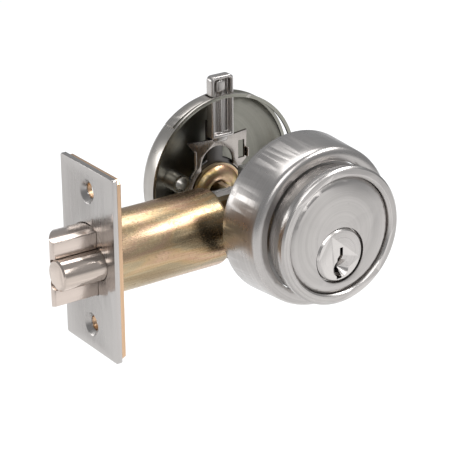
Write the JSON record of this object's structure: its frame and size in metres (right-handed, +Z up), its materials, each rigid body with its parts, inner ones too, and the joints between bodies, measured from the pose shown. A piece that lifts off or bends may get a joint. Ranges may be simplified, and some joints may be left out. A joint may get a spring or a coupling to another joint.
{
  "type": "tubular latch door lock",
  "caption": "Door lock with a keyed outside cylinder in a free-turning ring, a bevelled spring latch with a deadlocking plunger in a tube, and an inside turn lever on a domed rose.",
  "frame": {"origin": "on the latch axis, where the axis of the plug, tailpiece and turn hub crosses it, in the middle of the door's thickness", "axes": "+X away from the faceplate (the latch points along -X), +Y toward the room (the cylinder faces -Y), +Z up"},
  "size_m": [0.1015, 0.0716, 0.0674],
  "materials": {
    "faceplate_satin": "fine vertical satin brushing, nickel tone",
    "backing_tan": "tan plated steel edge, dull",
    "tube_dichromate": "yellow dichromate plating, iridescent, semi-gloss",
    "latch_satin": "satin cast latch, warm tone",
    "plunger_satin": "drawn rod, semi-bright",
    "tail_steel": "plain zinc plated steel",
    "spring_wire": "bright drawn wire",
    "case_dichromate": "yellow dichromate plated pressing",
    "hub_dichromate": "yellow dichromate plating on a turned and pressed hub",
    "trim_satin": "satin, brushed round the ring",
    "cylinder_satin": "satin nickel on die-cast metal",
    "face_satin": "fine satin disc",
    "plug_satin": "satin nickel on brass",
    "pin_brass": "turned brass",
    "rose_satin": "satin nickel on a pressed shell",
    "lever_satin": "satin nickel on die-cast metal",
    "plate_steel": "bright stamped steel"
  },
  "bodies": {
    "lock_body": {"faceplate": "faceplate_satin", "backing_plate": "backing_tan", "bolt_tube": "tube_dichromate", "spring_collar": "tail_steel", "case_plate_outer": "case_dichromate", "case_plate_inner": "case_dichromate", "case_rivets": "tail_steel", "dog_pin": "tail_steel", "latch_spring": "spring_wire", "plunger_spring": "spring_wire", "cylinder_body": "cylinder_satin", "face_disc": "face_satin", "driver_pins": "pin_brass", "pin_springs": "spring_wire", "chamber_cover": "pin_brass", "inside_rose": "rose_satin", "star_plate": "plate_steel", "turn_washer": "plate_steel"},
    "latch": {"latch_bolt": "latch_satin", "latch_tail": "tail_steel", "tail_rivet": "tail_steel"},
    "plunger": {"deadlocking_plunger": "plunger_satin"},
    "turn": {"turn_lever": "lever_satin", "turn_hub": "hub_dichromate", "tailpiece": "tail_steel", "crank_hub": "hub_dichromate"},
    "trim": {"trim_ring": "trim_satin"},
    "plug_unit": {"plug": "plug_satin", "bottom_pins": "pin_brass", "tail_cap": "pin_brass"},
    "dog": {"deadlock_dog": "tail_steel"}
  },
  "joints": [
    {"name": "turn_swing", "type": "hinge", "parent": "lock_body", "child": "turn", "pos_m": [0, 0, 0], "axis": [0, 1, 0], "range_deg": [0, 75]},
    {"name": "latch_slide", "type": "slide", "parent": "lock_body", "child": "latch", "axis": [1, 0, 0], "range_m": [0, 0.01371], "stiffness_N_per_m": 250, "springref_m": -0.008, "deforming": ["latch_spring"]},
    {"name": "plunger_slide", "type": "slide", "parent": "lock_body", "child": "plunger", "axis": [1, 0, 0], "range_m": [0, 0.0129], "stiffness_N_per_m": 120, "springref_m": -0.006, "deforming": ["plunger_spring"]},
    {"name": "dog_swing", "type": "hinge", "parent": "lock_body", "child": "dog", "pos_m": [-0.0084, 0, -0.0072], "axis": [0, 1, 0], "range_deg": [-8.05, 0]},
    {"name": "trim_ring_spin", "type": "hinge", "parent": "lock_body", "child": "trim", "pos_m": [0, -0.025, 0.006], "axis": [0, 1, 0], "continuous": true},
    {"name": "plug_turn", "type": "hinge", "parent": "lock_body", "child": "plug_unit", "pos_m": [0, -0.03, 0], "axis": [0, 1, 0], "range_deg": [-90, 90]}
  ],
  "couplings": [
    {"joint": "turn_swing", "follows": "latch_slide", "rad_per_m": 95.547},
    {"joint": "dog_swing", "follows": "plunger_slide", "rad_per_m": -10.824}
  ]
}
